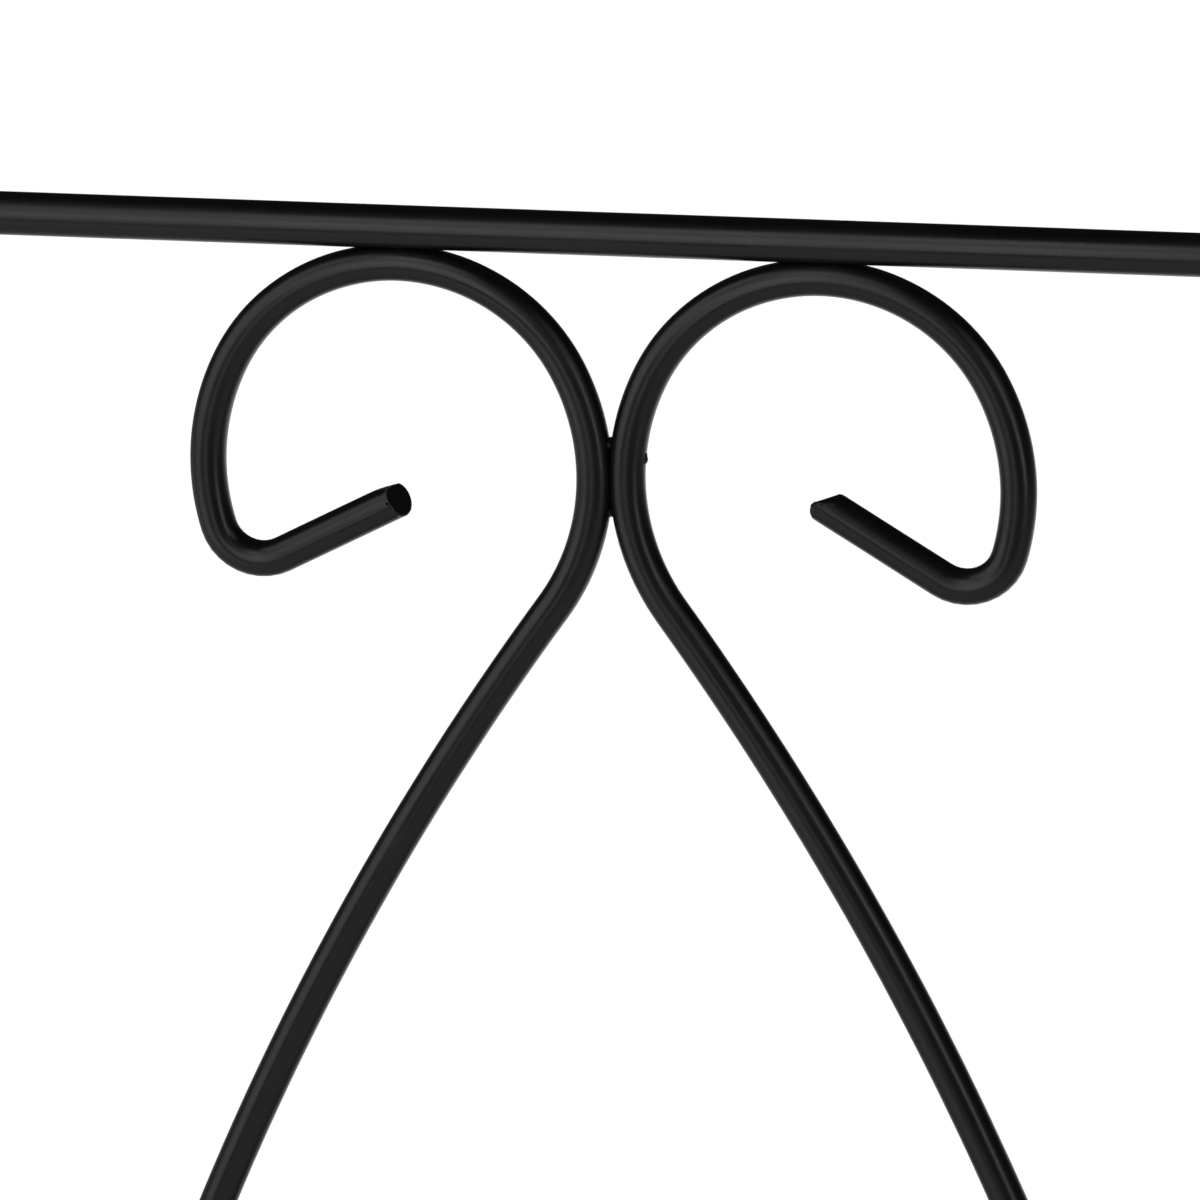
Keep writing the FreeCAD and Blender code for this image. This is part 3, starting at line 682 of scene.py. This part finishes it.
# %% The bead tree
def bead_tree():
    tree, given = tree_inputs("weld bead", [
        ("Radius", FLOAT, 0.0011), ("Puddle", FLOAT, 0.0013), ("Roughness", FLOAT, 0.00035),
        ("Seed", FLOAT, 0.0), ("Material", "NodeSocketMaterial", None)])
    given = given.outputs
    fine = add(tree, "GeometryNodeResampleCurve", {"Curve": given["Geometry"], "Length": 0.0002},
               mode="LENGTH")
    length = add(tree, "GeometryNodeSplineParameter").outputs["Length"]
    turns = add(tree, "ShaderNodeMath", {0: length, 1: given["Puddle"]}, operation="DIVIDE")
    phase = add(tree, "ShaderNodeMath", {0: turns.outputs["Value"], 1: math.pi}, operation="MULTIPLY")
    swing = add(tree, "ShaderNodeMath", {0: phase.outputs["Value"]}, operation="SINE")
    hump = add(tree, "ShaderNodeMath", {0: swing.outputs["Value"]}, operation="ABSOLUTE")
    ripple = add(tree, "ShaderNodeMath", {0: hump.outputs["Value"], 1: 0.16, 2: 0.88},
                 operation="MULTIPLY_ADD")
    width = add(tree, "GeometryNodeInputRadius").outputs["Radius"]
    scaled = add(tree, "ShaderNodeMath", {0: ripple.outputs["Value"], 1: width}, operation="MULTIPLY")
    circle = add(tree, "GeometryNodeCurvePrimitiveCircle", {"Resolution": 20, "Radius": given["Radius"]})
    swept = add(tree, "GeometryNodeCurveToMesh",
                {"Curve": fine.outputs["Curve"], "Profile Curve": circle.outputs["Curve"],
                 "Scale": scaled.outputs["Value"], "Fill Caps": True})
    lumps = add(tree, "ShaderNodeTexNoise",
                {"W": given["Seed"], "Scale": per_metre(1.6), "Detail": 2.0}, noise_dimensions="4D")
    centred = add(tree, "ShaderNodeMath", {0: lumps.outputs["Fac"], 1: 0.5}, operation="SUBTRACT")
    amount = add(tree, "ShaderNodeMath",
                 {0: centred.outputs["Value"], 1: given["Roughness"]}, operation="MULTIPLY")
    normal = add(tree, "GeometryNodeInputNormal").outputs["Normal"]
    push = add(tree, "ShaderNodeVectorMath", {0: normal, "Scale": amount.outputs["Value"]},
               operation="SCALE")
    lumpy = add(tree, "GeometryNodeSetPosition",
                {"Geometry": swept.outputs["Mesh"], "Offset": push.outputs["Vector"]})
    smooth = add(tree, "GeometryNodeSetShadeSmooth", {"Geometry": lumpy.outputs["Geometry"]})
    real = add(tree, "GeometryNodeRealizeInstances", {"Geometry": smooth.outputs["Geometry"]})
    coated = add(tree, "GeometryNodeSetMaterial",
                 {"Geometry": real.outputs["Geometry"], "Material": given["Material"]})
    add(tree, "NodeGroupOutput", {"Geometry": coated.outputs["Geometry"]})
    return tree


BEAD_TREE = bead_tree()


# %% Paths for beads
def saddle(matrix, centre, out, side, host_axis, radius, host, steps=40):
    """Where a rod of that radius meets the host rod, as a closed path.

    centre is on the host's axis, out points up the butting rod, host_axis along the
    host and side across both.
    """
    centre, out, side, host_axis = Vector(centre), Vector(out), Vector(side), Vector(host_axis)
    path = []
    for step in range(steps):
        angle = 2 * math.pi * step / steps
        aside = radius * math.cos(angle)
        rise = math.sqrt(max(host ** 2 - min(aside, host) ** 2, 0.0))
        path.append(matrix @ ((centre + out * rise + side * aside
                               + host_axis * radius * math.sin(angle)) * MM))
    return path, [1.0] * steps, True


def drop(matrix, centre, along, length, steps=14):
    """A short bead, round at both ends."""
    centre, along = Vector(centre), Vector(along).normalized()
    path, widths = [], []
    for step in range(steps + 1):
        part = -math.cos(math.pi * step / steps)
        path.append(matrix @ ((centre + along * (part * length / 2)) * MM))
        widths.append(max(0.02, math.sqrt(max(0.0, 1 - part ** 2))))
    return path, widths, False


def beads(name, body, splines, radius=1.1, seed=0.0):
    piece = run_tree(name + "_bead", splines, BEAD_TREE,
                     {"Radius": radius * MM, "Seed": seed, "Material": WELD_COAT})
    keep(piece, body, "coated_weld", name)


# %% Beads of the front frame
X, Y, Z = Vector((1, 0, 0)), Vector((0, 1, 0)), Vector((0, 0, 1))
# How far from the point of contact two bent rods part, and how far beyond it the bead is.
scroll_notch = math.sqrt((FLANK_R + WIRE_R) * SINK) + 0.7
crown_notch = math.sqrt(2 * (CROWN_R + WIRE_R) * SINK) + 0.2
BESIDE, BESIDE_LENGTH = 2.1, 5.0   # beads on either side of a rod that lies on another
hands = (-1, 1)
SPATTER_SUNK, SPATTER_UP, SPATTER_OUT, SPATTER_LENGTH = 0.35, 3.1, 0.3, 2.4
spatter_at = (2 * WIRE_R - SINK / 2 - SPATTER_SUNK, WIDEST_Y + SPATTER_UP, SPATTER_OUT)
spatter = drop(FRONT, spatter_at, Y, SPATTER_LENGTH)
beads("scroll_weld", "front_frame",
      [drop(FRONT, (0, WIDEST_Y + step * scroll_notch, 0), Z, 3.0) for step in hands]
      + [spatter], radius=0.8, seed=1.0)
beads("crown_welds", "front_frame",
      [drop(FRONT, (hand * CROWN.x + step * crown_notch, CROWN.y + WIRE_R - 0.1, 0), Z, 2.6)
       for hand in hands for step in hands], radius=0.6, seed=2.0)
beads("ledge_welds", "front_frame",
      [saddle(FRONT, (hand * LEG_X, LEDGE_Y + WIRE_R, 0), -hand * X, Z, Y, WIRE_R, ROD_R)
       for hand in hands], radius=1.0, seed=3.0)
stop_half = stem_x(STOP_Y)
beads("stop_welds", "front_frame",
      [saddle(FRONT, (hand * stop_half, STOP_Y, 0), -hand * X, Z, Y, WIRE_R, WIRE_R)
       for hand in hands], radius=0.9, seed=4.0)
stem_half = stem_x(STEM_END)
beads("stem_welds", "front_frame",
      [saddle(FRONT, (hand * stem_half, LEDGE_Y + WIRE_R, 0), Y, Z, X, WIRE_R, WIRE_R)
       for hand in hands], radius=0.9, seed=5.0)
beads("arm_welds", "front_frame",
      [drop(FRONT, (hand * ARM_X + step * BESIDE, LEDGE_Y + 0.2, 0), Z, BESIDE_LENGTH)
       for hand in hands for step in hands], radius=1.0, seed=6.0)
beads("lip_welds", "front_frame",
      [saddle(FRONT, (hand * ARM_X, ARM_Y + LIP_RISE - WIRE_R, REACH), -Y, Z, X, WIRE_R, WIRE_R)
       for hand in hands], radius=0.9, seed=7.0)
beads("hinge_bar_welds", "front_frame",
      [drop(FRONT, (hand * LEG_X, HINGE_Y + step * BESIDE, -(ROD_R - SINK / 2)), X, BESIDE_LENGTH)
       for hand in hands for step in hands], radius=1.0, seed=8.0)

# %% Beads of the strut
beads("sleeve_welds", "rear_strut",
      [drop(STRUT, (hand * STRUT_X + step * BESIDE, 0, -(SLEEVE_R + SINK / 3)), Y, BESIDE_LENGTH)
       for hand in hands for step in hands], radius=1.0, seed=9.0)
beads("brace_welds", "rear_strut",
      [saddle(STRUT, (hand * STRUT_X, BRACE_Y, STRUT_LEG_Z), -hand * X, Z, Y, WIRE_R, WIRE_R)
       for hand in hands], radius=0.9, seed=10.0)

# %% [markdown]
# ## Floor, light and camera
# Black satin rod is drawn by what it reflects.  A bank of soft panels, brightest on the
# left and above, and a tall one in front give the broad grey band down each upright.  A narrow
# strip on the right gives the thin second line.  The floor is a backlit sheet that the
# camera sees evenly pale, but only two patches of it light the rods, because a whole
# bright floor would wash out their dark undersides.


# %% Floor
# Patches that light the rods: centre, where each starts to fade and ends, in metres, and
# how bright it is.
PATCHES = [((0.05, 0.52), 0.3, 0.5, 0.8), ((-0.8, -0.85), 0.25, 0.6, 0.9)]
FAINT_GLOW, SEEN_GLOW, FLOOR_HALF = 0.02, 0.85, 6.0


def light_table():
    material, tree = new_material("acrylic, backlit matt")
    spot = add(tree, "ShaderNodeTexCoord").outputs["Object"]
    glow = FAINT_GLOW
    for (centre_x, centre_y), near, far, gain in PATCHES:
        moved = add(tree, "ShaderNodeMapping", {"Vector": spot, "Location": (-centre_x, -centre_y, 0)})
        away = add(tree, "ShaderNodeVectorMath", {0: moved.outputs["Vector"]}, operation="LENGTH")
        patch = add(tree, "ShaderNodeMapRange",
                    {"Value": away.outputs["Value"], "From Min": near, "From Max": far,
                     "To Min": gain, "To Max": 0.0}, interpolation_type="SMOOTHSTEP")
        glow = add(tree, "ShaderNodeMath", {0: patch.outputs["Result"], 1: glow},
                   operation="ADD").outputs["Value"]
    seen = add(tree, "ShaderNodeLightPath").outputs["Is Camera Ray"]
    glow = add(tree, "ShaderNodeMix", {0: seen, 2: glow, 3: SEEN_GLOW}).outputs[0]
    grain = add(tree, "ShaderNodeTexNoise", {"Vector": spot, "Scale": per_metre(400.0), "Detail": 2.0})
    tint = add(tree, "ShaderNodeMix",
               {"Factor": grain.outputs["Fac"], "A": linear("#fcfcfc"), "B": linear("#ffffff")},
               data_type="RGBA")
    shader = add(tree, "ShaderNodeBsdfPrincipled",
                 {"Base Color": tint.outputs["Result"], "Roughness": 0.9,
                  "Emission Color": tint.outputs["Result"], "Emission Strength": glow})
    add(tree, "ShaderNodeOutputMaterial", {"Surface": shader.outputs["BSDF"]})
    mesh = bpy.data.meshes.new("floor")
    corners = [(x * FLOOR_HALF, y * FLOOR_HALF, 0) for x, y in ((-1, -1), (1, -1), (1, 1), (-1, 1))]
    mesh.from_pydata(corners, [], [(0, 1, 2, 3)])
    mesh.materials.append(material)
    floor = bpy.data.objects.new("floor", mesh)
    bpy.context.scene.collection.objects.link(floor)


light_table()


# %% Lights
def soft_light(name, place, target, width, height, power):
    data = bpy.data.lights.new(name, "AREA")
    data.shape = "RECTANGLE"
    data.size, data.size_y = width, height
    data.energy = power
    made = bpy.data.objects.new(name, data)
    made.location = place
    made.rotation_euler = (Vector(place) - Vector(target)).to_track_quat("Z", "Y").to_euler()
    bpy.context.scene.collection.objects.link(made)
    return made


def softbox(name, azimuth, elevation, distance, width, height, brightness):
    """An area light round the scrolls, azimuth to the right of straight ahead."""
    turn = (Matrix.Rotation(math.radians(azimuth), 3, "Z")
            @ Matrix.Rotation(math.radians(-elevation), 3, "X"))
    place = middle + turn @ Vector((0, -distance, 0))
    return soft_light(name, place, middle, width, height, brightness * math.pi * width * height)


middle = FRONT @ (Vector((0, WIDEST_Y, 0)) * MM)
PANEL_AWAY, PANEL_SIZE, AMBIENT = 1.5, 0.66, 0.02
# Azimuth and elevation in degrees, and how bright.
PANELS = [(-80, 6, 0.75), (-55, 6, 1.1), (-80, 30, 0.95), (-55, 30, 0.8), (-30, 30, 1.0),
          (20, 30, 0.3), (70, 30, 0.5), (-80, 56, 1.0), (-30, 56, 0.6), (-5, 56, 1.0)]
for azimuth, elevation, brightness in PANELS:
    softbox(f"panel {azimuth} {elevation}", azimuth, elevation,
            PANEL_AWAY, PANEL_SIZE, PANEL_SIZE, brightness)
softbox("front panel", -9, 20, 1.5, 0.55, 1.0, 1.5)
softbox("right strip", 54, 10, 1.3, 0.26, 0.75, 2.0)
world = bpy.data.worlds.new("studio")
world.use_nodes = True
world.node_tree.nodes["Background"].inputs["Color"].default_value = (1, 1, 1, 1)
world.node_tree.nodes["Background"].inputs["Strength"].default_value = AMBIENT
bpy.context.scene.world = world
bpy.context.scene.view_settings.view_transform = "Standard"

# %% Camera
AZIMUTH, ELEVATION, ROLL = 12.0, 31.0, 3.9
DISTANCE, SENSOR = 1.6, 36.0
VIEW_WIDTH = 169.49                           # millimetres seen across, at the scrolls
MEETING_RIGHT, MEETING_UP = 1.554, 17.373     # where they meet, from the view's centre


def aim_camera():
    azimuth, elevation, roll = (math.radians(angle) for angle in (AZIMUTH, ELEVATION, ROLL))
    back = Vector((math.sin(azimuth) * math.cos(elevation),
                   -math.cos(azimuth) * math.cos(elevation), math.sin(elevation)))
    level = Vector((math.cos(azimuth), math.sin(azimuth), 0))
    upright = back.cross(level)
    right = level * math.cos(roll) - upright * math.sin(roll)
    up = level * math.sin(roll) + upright * math.cos(roll)
    aim = middle - right * MEETING_RIGHT * MM - up * MEETING_UP * MM
    data = bpy.data.cameras.new("camera")
    data.sensor_width = SENSOR
    data.lens = SENSOR * DISTANCE / (VIEW_WIDTH * MM)
    data.clip_end = 50
    camera = bpy.data.objects.new("camera", data)
    camera.matrix_world = Matrix.Translation(aim + back * DISTANCE) @ Matrix(
        (right, up, back)).transposed().to_4x4()
    bpy.context.scene.collection.objects.link(camera)
    bpy.context.scene.camera = camera
    print("lens", round(data.lens, 1), "mm")


aim_camera()
